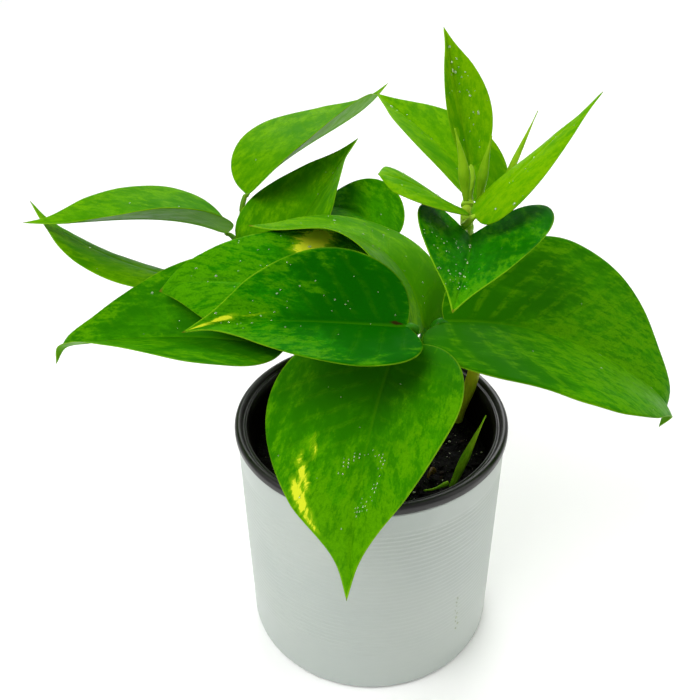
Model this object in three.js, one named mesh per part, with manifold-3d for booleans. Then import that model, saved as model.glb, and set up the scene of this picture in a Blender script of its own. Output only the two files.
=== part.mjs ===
// A potted pothos (Epipremnum aureum): a white ribbed cover pot, a dark nursery pot that hangs in it
// by its rim, the soil, three vines, and the leaves with their petioles.
// Millimetres, +Z up. The origin is the middle of the cover pot's underside; -Y is the front.

import * as THREE from "three";
import { mergeVertices } from "three/addons/utils/BufferGeometryUtils.js";
import Module from "manifold-3d";

// ---- driving sizes -------------------------------------------------------------------------------

const GAP = 0.3;                  // clearance left between pieces that touch
const ROUND_SIDES = 56;           // facets round the pots and the soil

const COVER_HEIGHT = 110.5;
const COVER_BASE_RADIUS = 58;
const COVER_TOP_RADIUS = 59;
const COVER_WALL = 3.2;
const COVER_FLOOR = 5;
const COVER_FOOT_ROUND = 3;       // radius of the rounded bottom edge
const COVER_LIP_ROUND = 1.2;

const RIM_OVERHANG = 1;           // how far the nursery pot's rolled rim stands out past the cover pot
const RIM_HEIGHT = 4.4;
const RIM_BEAD = 3.4;             // width of the rolled bead
const LEDGE_WIDTH = 1.8;          // flat step inside the bead
const LEDGE_DROP = 2.2;
const RIM_CHAMFER = 0.7;          // on the rim's outer lower edge
const NECK_HEIGHT = 2;            // straight collar under the rim, before the wall tapers
const MOUTH_STEP = 1.2;           // slope from the ledge down to the wall
const NURSERY_WALL = 1.3;
const NURSERY_FLOOR = 1.8;
const NURSERY_BASE_RADIUS = 44;
const NURSERY_LIFT = 4;           // space between the two pots' floors
const DRAIN_HOLES = 6;
const DRAIN_HOLE_RADIUS = 5;
const DRAIN_CIRCLE_RADIUS = 30;

const SOIL_DROP = 18;             // soil surface below the top of the rim
const SOIL_MOUND = 3;             // how much higher the soil is in the middle

const VINE_ROOT_DEPTH = 28;       // length of vine buried in the soil
const ROOT_LEAN = 0.06;           // how far the buried end lies in towards the axis, as a share
const PETIOLE_RADIUS = 1.5;
const PETIOLE_KNEE = 7;           // length of the bend where a petiole turns into its blade
const PETIOLE_CLEARANCE = 2;      // from the petiole's end to the point of its blade
const PETIOLE_SIDES = 8;
const PETIOLE_STEPS = 9;
const VINE_SIDES = 10;
const VINE_STEPS = 10;
const SPEAR_STEPS = 8;

const LEAF_THICKNESS = 1.4;       // at the midrib, thinning to the margin
const LEAF_ROWS = 12;             // rows from base to tip
const LEAF_COLUMNS = 4;           // columns from midrib to margin, each side
const LOBE_REACH = 0.12;          // share of the length where the basal lobes reach furthest back
const HOOK_START = 0.85;          // share of the length where the drip tip starts to turn

const rimRadius = COVER_TOP_RADIUS + RIM_OVERHANG;
const rimTop = COVER_HEIGHT + GAP + RIM_HEIGHT;
const soilLevel = rimTop - SOIL_DROP;
const nurseryTopRadius = COVER_TOP_RADIUS - COVER_WALL - 3 * GAP;
const nurseryBottom = COVER_FLOOR + NURSERY_LIFT;

// ---- colours -------------------------------------------------------------------------------------

const finish = (color, roughness) =>
  new THREE.MeshStandardMaterial({ color, roughness, metalness: 0 });

// ---- small helpers -------------------------------------------------------------------------------

const wasm = await Module();
wasm.setup();

const degrees = (angle) => THREE.MathUtils.degToRad(angle);

function weld(geometry) {
  const bare = geometry.clone();
  bare.deleteAttribute("normal");
  bare.deleteAttribute("uv");
  return mergeVertices(bare, 1e-4);
}

function toSolid(geometry) {
  const welded = weld(geometry);
  const vertProperties = new Float32Array(welded.attributes.position.array);
  const triVerts = new Uint32Array(welded.index.array);
  return new wasm.Manifold(new wasm.Mesh({ numProp: 3, vertProperties, triVerts }));
}

function fromSolid(solid) {
  const mesh = solid.getMesh();
  const geometry = new THREE.BufferGeometry();
  geometry.setAttribute("position", new THREE.BufferAttribute(mesh.vertProperties, 3));
  geometry.setIndex(new THREE.BufferAttribute(mesh.triVerts, 1));
  geometry.computeVertexNormals();
  return geometry;
}

// A profile of [radius, height] pairs, turned about Z.
function turned(profile, sides = ROUND_SIDES) {
  const points = profile.map(([radius, height]) => new THREE.Vector2(radius, height));
  const geometry = new THREE.LatheGeometry(points, sides);
  geometry.rotateX(Math.PI / 2);
  return geometry;
}

// An arc of [radius, height] pairs about a centre, angles in degrees.
function arc(centreRadius, centreHeight, radius, from, to, steps) {
  return Array.from({ length: steps + 1 }, (_, i) => {
    const angle = degrees(from + ((to - from) * i) / steps);
    return [centreRadius + radius * Math.cos(angle), centreHeight + radius * Math.sin(angle)];
  });
}

// A closed skin over rings of equal size, with a single point at each end.
function skin(startPoint, rings, endPoint) {
  const count = rings[0].length;
  const points = [startPoint, ...rings.flat(), endPoint];
  const last = points.length - 1;
  const at = (ring, i) => 1 + ring * count + (i % count);
  const index = [];
  for (let i = 0; i < count; i++) {
    index.push(0, at(0, i + 1), at(0, i));
    for (let ring = 0; ring < rings.length - 1; ring++) {
      index.push(at(ring, i), at(ring, i + 1), at(ring + 1, i + 1));
      index.push(at(ring, i), at(ring + 1, i + 1), at(ring + 1, i));
    }
    index.push(last, at(rings.length - 1, i), at(rings.length - 1, i + 1));
  }
  const geometry = new THREE.BufferGeometry().setFromPoints(points);
  geometry.setIndex(index);
  geometry.computeVertexNormals();
  return geometry;
}

// A round rod along a curve, its radius given as a function of the share of its length. Its start
// can be extended straight back.
function rod(curve, radiusAt, steps, sides, extension = 0) {
  const frames = curve.computeFrenetFrames(steps, false);
  const start = curve.getPointAt(0).addScaledVector(frames.tangents[0], -extension);
  const rings = [];
  for (let k = 0; k <= steps; k++) {
    const centre = k === 0 ? start : curve.getPointAt(k / steps);
    const ring = [];
    for (let i = 0; i < sides; i++) {
      const turn = (2 * Math.PI * i) / sides;
      const across = frames.normals[k].clone().multiplyScalar(Math.cos(turn));
      across.addScaledVector(frames.binormals[k], Math.sin(turn));
      ring.push(centre.clone().addScaledVector(across, radiusAt(k / steps)));
    }
    rings.push(ring);
  }
  return skin(start, rings, curve.getPointAt(1));
}

// ---- pots and soil -------------------------------------------------------------------------------

function coverPot() {
  const round = COVER_FOOT_ROUND;
  const lip = COVER_LIP_ROUND;
  const wallTop = COVER_HEIGHT - lip;
  return turned([
    [0, 0],
    ...arc(COVER_BASE_RADIUS - round, round, round, -90, 0, 4),
    ...arc(COVER_TOP_RADIUS - lip, wallTop, lip, 0, 90, 2),
    ...arc(COVER_TOP_RADIUS - COVER_WALL + lip, wallTop, lip, 90, 180, 2),
    [COVER_BASE_RADIUS - COVER_WALL, COVER_FLOOR + round],
    [COVER_BASE_RADIUS - COVER_WALL - round, COVER_FLOOR],
    [0, COVER_FLOOR],
  ]);
}

const ledgeTop = rimTop - LEDGE_DROP;
const mouthRadius = rimRadius - RIM_BEAD - LEDGE_WIDTH;
const nurseryInner = nurseryTopRadius - NURSERY_WALL;

// Inside radius of the nursery pot's tapered wall at a height.
function nurseryInnerAt(height) {
  const share = (height - nurseryBottom) / (COVER_HEIGHT - nurseryBottom);
  const base = NURSERY_BASE_RADIUS - NURSERY_WALL;
  return base + (nurseryInner - base) * share;
}

function nurseryPot() {
  const seat = COVER_HEIGHT + GAP;
  const bead = RIM_BEAD / 2;
  const floorTop = nurseryBottom + NURSERY_FLOOR;
  const body = turned([
    [0, nurseryBottom],
    [NURSERY_BASE_RADIUS, nurseryBottom],
    [nurseryTopRadius, COVER_HEIGHT - NECK_HEIGHT],
    [nurseryTopRadius, seat],
    [rimRadius - RIM_CHAMFER, seat],
    [rimRadius, seat + RIM_CHAMFER],
    ...arc(rimRadius - bead, rimTop - bead, bead, 0, 180, 6),
    [rimRadius - RIM_BEAD, ledgeTop],
    [mouthRadius, ledgeTop],
    [mouthRadius - MOUTH_STEP / 2, ledgeTop - MOUTH_STEP],
    [nurseryInner, COVER_HEIGHT - NECK_HEIGHT - MOUTH_STEP],
    [nurseryInnerAt(floorTop), floorTop],
    [0, floorTop],
  ]);
  let pot = toSolid(body);
  for (let i = 0; i < DRAIN_HOLES; i++) {
    const angle = (2 * Math.PI * i) / DRAIN_HOLES;
    const hole = new THREE.CylinderGeometry(DRAIN_HOLE_RADIUS, DRAIN_HOLE_RADIUS, 4 * NURSERY_FLOOR, 12);
    hole.rotateX(Math.PI / 2);
    hole.translate(
      DRAIN_CIRCLE_RADIUS * Math.cos(angle),
      DRAIN_CIRCLE_RADIUS * Math.sin(angle),
      nurseryBottom + NURSERY_FLOOR / 2,
    );
    pot = pot.subtract(toSolid(hole));
  }
  return fromSolid(pot);
}

// The root ball fills the nursery pot and has a socket where each buried stem passes.
function soil(buried) {
  const bottom = nurseryBottom + NURSERY_FLOOR + GAP;
  const edge = soilLevel - SOIL_MOUND / 2;
  const edgeRadius = nurseryInnerAt(edge) - GAP;
  const body = turned([
    [0, bottom],
    [nurseryInnerAt(bottom) - GAP, bottom],
    [edgeRadius, edge],
    [edgeRadius * 0.66, soilLevel],
    [edgeRadius * 0.33, soilLevel + SOIL_MOUND / 2],
    [0, soilLevel + SOIL_MOUND / 2],
  ]);
  let ball = toSolid(body);
  for (const stem of buried) {
    ball = ball.subtract(toSolid(stem));
  }
  return fromSolid(ball);
}

// ---- vines ---------------------------------------------------------------------------------------

// A point in the pot: shares of the soil's radius, less the room that a stem needs at the wall, and
// a share of the soil's drop above it.
const soilRadius = nurseryInnerAt(soilLevel);

function inPot([across, back, rise], room = 0) {
  const reach = soilRadius - room;
  return new THREE.Vector3(across * reach, back * reach, soilLevel + rise * SOIL_DROP);
}

// A point over the pot: millimetres from the axis, and a height above the soil.
function overPot([x, y, height]) {
  return new THREE.Vector3(x, y, soilLevel + height);
}

// Each vine climbs from its foot past the rim through points set in the pot, then through points
// over it. Its radius goes from the first value at the buried end to the second at its tip.
const VINES = {
  right: {
    low: [[0.833, 0.448, 0], [0.907, 0.459, 0.7], [0.982, 0.512, 1.5]],
    high: [[42, 40, 60], [39, 24, 94], [37, 11, 112]],
    radii: [3.3, 2.3],
  },
  middle: {
    low: [[0.106, 0.255, 0], [0.138, 0.286, 0.67]],
    high: [[10, 17, 26], [12, 20, 38]],
    radii: [3.0, 2.4],
  },
  left: {
    low: [[-0.446, 0.446, 0], [-0.552, 0.668, 0.89], [-0.668, 0.955, 1.78]],
    high: [[-37, 54, 43]],
    radii: [3.0, 2.2],
  },
};

function vineCurve({ low, high, radii }) {
  const climb = low.map((point) => inPot(point, radii[0]));
  const foot = climb[0];
  const lean = 1 - ROOT_LEAN;
  const buriedEnd = new THREE.Vector3(foot.x * lean, foot.y * lean, soilLevel - VINE_ROOT_DEPTH);
  const points = [buriedEnd, ...climb, ...high.map(overPot)];
  return new THREE.CatmullRomCurve3(points, false, "centripetal");
}

// The vine itself, or with a clearance the socket that it needs in the soil.
function vineRod(vine, clearance = 0) {
  const [low, high] = vine.radii;
  const radiusAt = (share) => low + (high - low) * share + clearance;
  return rod(vineCurve(vine), radiusAt, VINE_STEPS, VINE_SIDES, clearance);
}

// ---- leaves --------------------------------------------------------------------------------------

// Each leaf is set out from where its petiole meets the blade.
//   at       [x, y, height above the soil]
//   size     [length along the midrib, width]
//   heading  compass angle of the midrib at base and tip; 0 is +X, 90 is the back
//   pitch    climb of the midrib at base, middle and tip
//   roll     tilt about the midrib at base and tip; positive lifts the left half
//   fold     how far the left and right halves fold up from the midrib
//   curl     further bend of each half out to its margin
//   widest, taper  share of the length where it is widest; how fast it narrows to the tip
//   lobes    how far the left and right basal lobes reach back, as a share of the length
//   lean     extra width of the left half over the right
//   hook     extra bend of the drip tip
const LEAVES = {
  top_upright: { at: [38, 18, 126], size: [53, 24], heading: [113, 125], pitch: [61, 63, 69], roll: [4, 8],
    fold: [24, 21], curl: [9, 5], widest: 0.42, taper: 1.2, lobes: [0.03, 0.05], lean: -0.04, hook: -5 },
  top_back: { at: [46, 33, 105], size: [72, 42], heading: [133, 134], pitch: [45, 21, 19], roll: [4, 0],
    fold: [19, 18], curl: [1, 0], widest: 0.34, taper: 1.1, lobes: [0.05, 0.06], lean: -0.02, hook: 2 },
  top_right: { at: [38, -4, 115], size: [63, 30], heading: [22, 4], pitch: [43, 43, 48], roll: [-4, -17],
    fold: [0, 4], curl: [-29, -24], widest: 0.34, taper: 1.1, lobes: [0.04, 0.06], lean: 0, hook: 4 },
  top_left: { at: [33, -1, 117], size: [38, 27], heading: [211, 188], pitch: [31, 32, 11], roll: [6, -9],
    fold: [4, 4], curl: [-21, -21], widest: 0.49, taper: 0.5, lobes: [0.05, 0.05], lean: -0.02, hook: 2 },
  heart: { at: [38, 2, 104], size: [64, 58], heading: [-95, -106], pitch: [7, 4, -3], roll: [-3, -3],
    fold: [26, 27], curl: [10, 14], widest: 0.35, taper: 1.2, lobes: [0.2, 0.17], lean: 0.14, hook: -7 },
  right: { at: [30, 3, 64], size: [128, 96], heading: [6, -1], pitch: [0, -27, -52], roll: [15, 6],
    fold: [20, 14], curl: [2, -5], widest: 0.45, taper: 1.24, lobes: [0.06, 0.18], lean: 0.03, hook: -63 },
  front: { at: [10, -9, 60], size: [111, 77], heading: [-106, -93], pitch: [-12, -15, -27], roll: [0, 18],
    fold: [19, 15], curl: [0, -4], widest: 0.36, taper: 1.3, lobes: [0.05, 0.065], lean: -0.06, hook: -3 },
  middle: { at: [14, -15, 73], size: [90, 58], heading: [204, 202], pitch: [16, 15, 1], roll: [-23, -23],
    fold: [19, 25], curl: [3, 9], widest: 0.36, taper: 1.37, lobes: [0.08, 0.085], lean: 0, hook: -13 },
  under: { at: [8, 15.5, 62.9], size: [103, 68], heading: [178, 174], pitch: [13, 6, -17], roll: [-9, -20.5],
    fold: [6, 12], curl: [-17, -11], widest: 0.34, taper: 0.88, lobes: [0.05, 0.16], lean: 0.03, hook: -19 },
  arched: { at: [22, 5, 58], size: [105, 55], heading: [110, 186], pitch: [68, 8, -7], roll: [33, 1],
    fold: [13, 9], curl: [1, -10], widest: 0.38, taper: 1.07, lobes: [0.05, 0.07], lean: 0.03, hook: 21 },
  left_low: { at: [-36, 0, 52], size: [113, 77], heading: [169, 176], pitch: [8, -7, -12], roll: [-16, 10],
    fold: [24, 24], curl: [8, 8], widest: 0.34, taper: 1.27, lobes: [0.03, 0.05], lean: -0.02, hook: -68 },
  left_narrow: { at: [-79, 55, 52], size: [100, 48], heading: [163, 159], pitch: [3, 13, 41], roll: [13, 21],
    fold: [7, -2], curl: [-21, -30], widest: 0.37, taper: 1.15, lobes: [0.05, 0.05], lean: 0.01, hook: 18 },
  left_high: { at: [-73, 92, 60], size: [98, 69], heading: [188, 198], pitch: [31, 4, 9], roll: [17, -4],
    fold: [21, 16], curl: [3, -2], widest: 0.3, taper: 1.2, lobes: [0.03, 0.03], lean: 0.03, hook: 3 },
  back_tall: { at: [-63, 101, 77], size: [114, 66], heading: [43, 55], pitch: [34, 9, 24], roll: [-5, -24],
    fold: [18, 25], curl: [2, 9], widest: 0.38, taper: 1.16, lobes: [0.025, 0.05], lean: 0.02, hook: 4 },
  back_middle: { at: [-41, 65, 60], size: [79, 60], heading: [75, 46], pitch: [33, 25, 39], roll: [-9, -21],
    fold: [18, 25], curl: [1, 9], widest: 0.3, taper: 1.12, lobes: [0.07, 0.05], lean: 0.04, hook: 1 },
  back_round: { at: [8, 70, 66], size: [63, 42], heading: [127, 133], pitch: [28, -5, -37], roll: [-10, -13],
    fold: [17, 23], curl: [0, 6], widest: 0.4, taper: 1.1, lobes: [0.05, 0.04], lean: 0.01, hook: -8 },
};

const MIDRIB_STEPS = 32;

// Direction of the midrib at a share of its length.
function midribDirection(leaf, share) {
  const [low, middle, high] = leaf.pitch;
  const bend = low * (1 - share) * (1 - 2 * share) + 4 * middle * share * (1 - share)
    + high * share * (2 * share - 1);
  const hook = leaf.hook * THREE.MathUtils.clamp((share - HOOK_START) / (1 - HOOK_START), 0, 1);
  const pitch = degrees(bend + hook);
  const heading = degrees(THREE.MathUtils.lerp(leaf.heading[0], leaf.heading[1], share));
  return {
    along: new THREE.Vector3(
      Math.cos(pitch) * Math.cos(heading), Math.cos(pitch) * Math.sin(heading), Math.sin(pitch)),
    level: new THREE.Vector3(-Math.sin(heading), Math.cos(heading), 0),
  };
}

function midrib(leaf) {
  const points = [overPot(leaf.at)];
  for (let k = 0; k < MIDRIB_STEPS; k++) {
    const { along } = midribDirection(leaf, (k + 0.5) / MIDRIB_STEPS);
    points.push(points[k].clone().addScaledVector(along, leaf.size[0] / MIDRIB_STEPS));
  }
  return points;
}

function midribPoint(leaf, points, share) {
  const step = THREE.MathUtils.clamp(share, 0, 1) * MIDRIB_STEPS;
  const k = Math.min(Math.floor(step), MIDRIB_STEPS - 1);
  const point = points[k].clone().lerp(points[k + 1], step - k);
  const { along } = midribDirection(leaf, 0);
  return point.addScaledVector(along, Math.min(share, 0) * leaf.size[0]);
}

// Half width as a share of the leaf's half width.
function outline(leaf, share) {
  const shoulder = (leaf.taper * leaf.widest) / (1 - leaf.widest);
  const shape = (s) => s ** shoulder * (1 - s) ** leaf.taper;
  return shape(share) / shape(leaf.widest);
}

// A point of the blade's middle surface, and the surface's normal there.
function blade(leaf, points, share, across) {
  const side = across < 0 ? 1 : 0;
  const sign = across < 0 ? -1 : 1;
  const out = Math.abs(across);
  const reach = (share / LOBE_REACH) * Math.exp(1 - share / LOBE_REACH);
  const along = share - leaf.lobes[side] * reach * out ** 1.5;
  const held = THREE.MathUtils.clamp(along, 0, 1);
  const direction = midribDirection(leaf, held);
  const up = direction.along.clone().cross(direction.level);
  const roll = degrees(THREE.MathUtils.lerp(leaf.roll[0], leaf.roll[1], held));
  const left = direction.level.clone().multiplyScalar(Math.cos(roll));
  left.addScaledVector(up, Math.sin(roll));
  const normal = up.multiplyScalar(Math.cos(roll));
  normal.addScaledVector(direction.level, -Math.sin(roll));
  const fold = degrees(leaf.fold[side]);
  const curl = degrees(leaf.curl[side]) || 1e-4;
  const width = (leaf.size[1] / 2) * outline(leaf, share) * (1 + sign * leaf.lean);
  const reachOut = (Math.sin(fold + curl * out) - Math.sin(fold)) / curl;
  const rise = (Math.cos(fold) - Math.cos(fold + curl * out)) / curl;
  const point = midribPoint(leaf, points, along);
  point.addScaledVector(left, sign * width * reachOut);
  point.addScaledVector(normal, width * rise);
  const slope = fold + curl * out;
  const facing = normal.clone().multiplyScalar(Math.cos(slope));
  facing.addScaledVector(left, -sign * Math.sin(slope));
  return { point, facing };
}

function leafBlade(leaf) {
  const points = midrib(leaf);
  const rings = [];
  for (let row = 1; row <= LEAF_ROWS; row++) {
    const even = row / (LEAF_ROWS + 1);
    const share = even ** 1.35;
    const top = [];
    const bottom = [];
    for (let column = -LEAF_COLUMNS; column <= LEAF_COLUMNS; column++) {
      const across = column / LEAF_COLUMNS;
      const { point, facing } = blade(leaf, points, share, across);
      const half = (LEAF_THICKNESS / 2) * Math.sqrt(1 - across * across);
      top.push(point.clone().addScaledVector(facing, half));
      if (Math.abs(column) < LEAF_COLUMNS) {
        bottom.unshift(point.clone().addScaledVector(facing, -half));
      }
    }
    rings.push([...top, ...bottom].reverse());
  }
  return skin(points[0], rings, points[MIDRIB_STEPS]);
}

// ---- petioles ------------------------------------------------------------------------------------

// The vine and the share of its length that the petiole grows from, how far it bows out before it
// turns into the blade, a shorter knee, and a way round another piece, measured from the vine.
const PETIOLES = {
  top_upright: { vine: "right", node: 0.99, bow: 5 },
  top_back: { vine: "right", node: 0.93, bow: 8 },
  top_right: { vine: "right", node: 0.97, bow: 3 },
  heart: { vine: "right", node: 0.91, bow: 4 },
  right: { vine: "middle", node: 0.62, bow: 4, knee: 3, via: [23, -10, 30] },
  front: { vine: "middle", node: 0.55, bow: 14 },
  middle: { vine: "middle", node: 0.84, bow: 8 },
  under: { vine: "middle", node: 0.99, bow: 10 },
  arched: { vine: "middle", node: 0.95, bow: 4 },
  left_low: { vine: "left", node: 0.45, bow: 14 },
  left_narrow: { vine: "left", node: 0.74, bow: 12 },
  left_high: { vine: "left", node: 0.86, bow: 8 },
  back_tall: { vine: "left", node: 0.64, bow: 4, via: [-11, 60, 28] },
  back_middle: { vine: "left", node: 0.98, bow: 6 },
  back_round: { vine: "middle", node: 0.78, bow: 10 },
};

function petioleCurve(leaf, petiole) {
  const vine = VINES[petiole.vine];
  const curve = vineCurve(vine);
  const node = curve.getPointAt(petiole.node);
  const base = overPot(leaf.at);
  const { along } = midribDirection(leaf, 0);
  const end = base.clone().addScaledVector(along, -PETIOLE_CLEARANCE);
  const outward = end.clone().sub(node);
  const climb = curve.getTangentAt(petiole.node);
  outward.addScaledVector(climb, -outward.dot(climb)).normalize();
  const [low, high] = vine.radii;
  const vineRadius = low + (high - low) * petiole.node;
  const start = node.clone().addScaledVector(outward, vineRadius + PETIOLE_RADIUS + GAP);
  const reach = start.distanceTo(end);
  const rise = climb.clone().add(outward.clone().multiplyScalar(0.4)).normalize();
  const first = start.clone().addScaledVector(rise, Math.min(petiole.bow, reach / 3));
  const second = end.clone().addScaledVector(along, -Math.min(petiole.knee ?? PETIOLE_KNEE, reach / 3));
  if (petiole.via) {
    const turn = node.clone().add(new THREE.Vector3(...petiole.via));
    const points = [start, first, turn, second, end];
    return new THREE.CatmullRomCurve3(points, false, "centripetal");
  }
  return new THREE.CubicBezierCurve3(start, first, second, end);
}

function petioleRod(leaf, petiole) {
  const thin = (share) => PETIOLE_RADIUS * (1.1 - 0.35 * share);
  return rod(petioleCurve(leaf, petiole), thin, PETIOLE_STEPS, PETIOLE_SIDES);
}

// ---- rolled young leaves -------------------------------------------------------------------------

// A spindle through three points, its greatest radius, and the share of its length where that lies.
const SPEARS = {
  sheath_top: {
    points: [[36, 6, 117], [34, 6, 131], [30, 7, 145]].map(overPot), radius: 2.6, fullest: 0.35,
  },
  new_leaf_top: {
    points: [[42, 14, 113], [43, 15, 126], [45, 16, 139]].map(overPot), radius: 2.4, fullest: 0.4,
  },
  new_leaf_right: {
    points: [[52, 24, 114], [58, 27, 129], [64, 30, 144]].map(overPot), radius: 1.6, fullest: 0.3,
  },
  shoot_in_pot: {
    points: [[0.63, -0.5, -0.45], [0.8, -0.4, 0.7], [0.96, -0.29, 1.6]].map(inPot), radius: 2.2,
    fullest: 0.45,
  },
};

function spearRod(spear, clearance = 0) {
  const radiusAt = (share) => {
    const rise = Math.min(share / spear.fullest, 1);
    const fall = Math.min((1 - share) / (1 - spear.fullest), 1);
    return spear.radius * Math.max(0.45 + 0.55 * rise, 0) * Math.max(fall, 0.12) + clearance;
  };
  const curve = new THREE.CatmullRomCurve3(spear.points);
  return rod(curve, radiusAt, SPEAR_STEPS, PETIOLE_SIDES, clearance);
}

// ---- assembly ------------------------------------------------------------------------------------

const plant = new THREE.Group();

function place(name, geometry, material) {
  const mesh = new THREE.Mesh(geometry, material);
  mesh.name = name;
  plant.add(mesh);
}

place("cover_pot", coverPot(), finish(0xc8ceca, 0.45));
place("nursery_pot", nurseryPot(), finish(0x1c1713, 0.4));
place("soil", soil([
  ...Object.values(VINES).map((vine) => vineRod(vine, GAP)),
  spearRod(SPEARS.shoot_in_pot, GAP),
]), finish(0x120d0a, 0.95));
for (const [name, vine] of Object.entries(VINES)) {
  place(`vine_${name}`, vineRod(vine), finish(0x8a9a30, 0.5));
}
for (const [name, spear] of Object.entries(SPEARS)) {
  place(name, spearRod(spear), finish(0x5c9a10, 0.45));
}
for (const [name, leaf] of Object.entries(LEAVES)) {
  place(`leaf_${name}`, leafBlade(leaf), finish(0x2f8a08, 0.35));
}
for (const [name, petiole] of Object.entries(PETIOLES)) {
  place(`petiole_${name}`, petioleRod(LEAVES[name], petiole), finish(0x7f9a2c, 0.45));
}

export default plant;
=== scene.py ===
# The looks of a potted pothos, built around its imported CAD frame, in metres, +Z up.
# Every leaf, stem and shoot is rebuilt on the rings of its CAD solid, so it stays where the frame
# puts it; the pots and the soil take their sizes from the frame's boxes.

import math
import random

import bmesh
import bpy
import numpy as np
from mathutils import Matrix, Vector, noise


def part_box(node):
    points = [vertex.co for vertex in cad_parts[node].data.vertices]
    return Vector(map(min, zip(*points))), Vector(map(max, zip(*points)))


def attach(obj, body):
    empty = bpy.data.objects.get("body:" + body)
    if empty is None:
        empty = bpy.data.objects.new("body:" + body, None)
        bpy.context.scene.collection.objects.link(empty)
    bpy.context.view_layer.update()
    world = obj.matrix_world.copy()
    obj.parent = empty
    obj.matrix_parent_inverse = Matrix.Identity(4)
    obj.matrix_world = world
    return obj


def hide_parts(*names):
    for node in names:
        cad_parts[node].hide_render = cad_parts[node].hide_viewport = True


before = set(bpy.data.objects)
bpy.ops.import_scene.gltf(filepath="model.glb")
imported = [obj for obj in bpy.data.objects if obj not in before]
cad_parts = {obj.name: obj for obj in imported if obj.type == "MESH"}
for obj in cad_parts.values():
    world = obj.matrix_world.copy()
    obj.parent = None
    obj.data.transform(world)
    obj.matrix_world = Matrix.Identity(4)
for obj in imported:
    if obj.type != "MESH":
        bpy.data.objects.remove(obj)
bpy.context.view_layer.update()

MM = 0.001
BODY = "root"

# ---- small helpers ----


def unit(v):
    """Vectors along the last axis, at length 1."""
    return v / np.maximum(np.linalg.norm(v, axis=-1, keepdims=True), 1e-12)


def smoothstep(low, high, x):
    t = np.clip((x - low) / (high - low), 0, 1)
    return t * t * (3 - 2 * t)


def fractal(points, scale, octaves=3, seed=0.0):
    """Fractal noise, about -1 to 1, at each point."""
    offset = Vector((seed, seed * 0.7, -seed))
    out = np.empty(len(points))
    for i, p in enumerate(points):
        out[i] = noise.fractal(Vector(p) * scale + offset, 1.0, 2.0, octaves)
    return out


def spline(points, at):
    """A smooth curve through points, read at positions given in points' own index."""
    count = len(points)
    at = np.clip(np.asarray(at, float), 0, count - 1)
    k = np.minimum(at.astype(int), count - 2)
    t = (at - k).reshape(-1, *([1] * (points.ndim - 1)))
    before = np.where((k > 0).reshape(t.shape), points[np.maximum(k - 1, 0)], 2 * points[k] - points[k + 1])
    after = np.where(
        (k < count - 2).reshape(t.shape), points[np.minimum(k + 2, count - 1)], 2 * points[k + 1] - points[k])
    a, b = points[k], points[k + 1]
    return 0.5 * (2 * a + (b - before) * t + (2 * before - 5 * a + 4 * b - after) * t**2
                  + (3 * a - before - 3 * b + after) * t**3)


def add_mesh(name, points, faces, material, replaced=(), attributes=None):
    """A new piece from points and faces, riding on the body."""
    mesh = bpy.data.meshes.new(name)
    mesh.from_pydata([tuple(p) for p in points], [], [tuple(int(i) for i in f) for f in faces])
    mesh.validate()
    mesh.update()
    mesh.polygons.foreach_set("use_smooth", [True] * len(mesh.polygons))
    for key, values in (attributes or {}).items():
        layer = mesh.attributes.new(key, "FLOAT_VECTOR", "POINT")
        layer.data.foreach_set("vector", np.asarray(values, np.float32).ravel())
    mesh.materials.append(material)
    piece = bpy.data.objects.new(name, mesh)
    bpy.context.scene.collection.objects.link(piece)
    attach(piece, BODY)
    if replaced:
        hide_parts(*replaced)
    return piece


def ring_faces(rings, count):
    """Quads between consecutive closed rings of count points."""
    faces = []
    for r in range(rings - 1):
        for i in range(count):
            j = (i + 1) % count
            a = r * count
            faces.append((a + i, a + j, a + count + j, a + count + i))
    return faces


# ---- reading the frame's rods and blades ----


def cad_rings(node):
    """A CAD solid that is a skin over rings between two poles: the poles and the rings in order."""
    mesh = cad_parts[node].data
    points = np.array([v.co for v in mesh.vertices], float)
    keys, inverse = np.unique(np.round(points * 1e5).astype(int), axis=0, return_inverse=True)
    inverse = inverse.ravel()
    merged = np.zeros((len(keys), 3))
    merged[inverse] = points
    near = {i: set() for i in range(len(keys))}
    for face in mesh.polygons:
        corners = [int(inverse[v]) for v in face.vertices]
        for a, b in zip(corners, corners[1:] + corners[:1]):
            if a != b:
                near[a].add(b)
                near[b].add(a)
    poles = sorted(near, key=lambda i: -len(near[i]))[:2]
    seen = set(poles)
    rings = []
    layer = set(near[poles[0]])
    while layer:
        seen |= layer
        cycle = [min(layer)]
        while len(cycle) < len(layer):
            step = sorted(i for i in near[cycle[-1]] & layer if i not in cycle)
            cycle.append(step[0])
        rings.append(cycle)
        layer = set().union(*(near[i] for i in layer)) - seen
    aligned = [rings[0]]
    for ring in rings[1:]:
        shifts = [ring[k:] + ring[:k] for k in range(len(ring))]
        shifts += [s[::-1] for s in shifts]
        last = merged[aligned[-1]]
        aligned.append(min(shifts, key=lambda s: np.sum((merged[s] - last) ** 2)))
    return merged[poles[0]], np.array([merged[r] for r in aligned]), merged[poles[1]]


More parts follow.
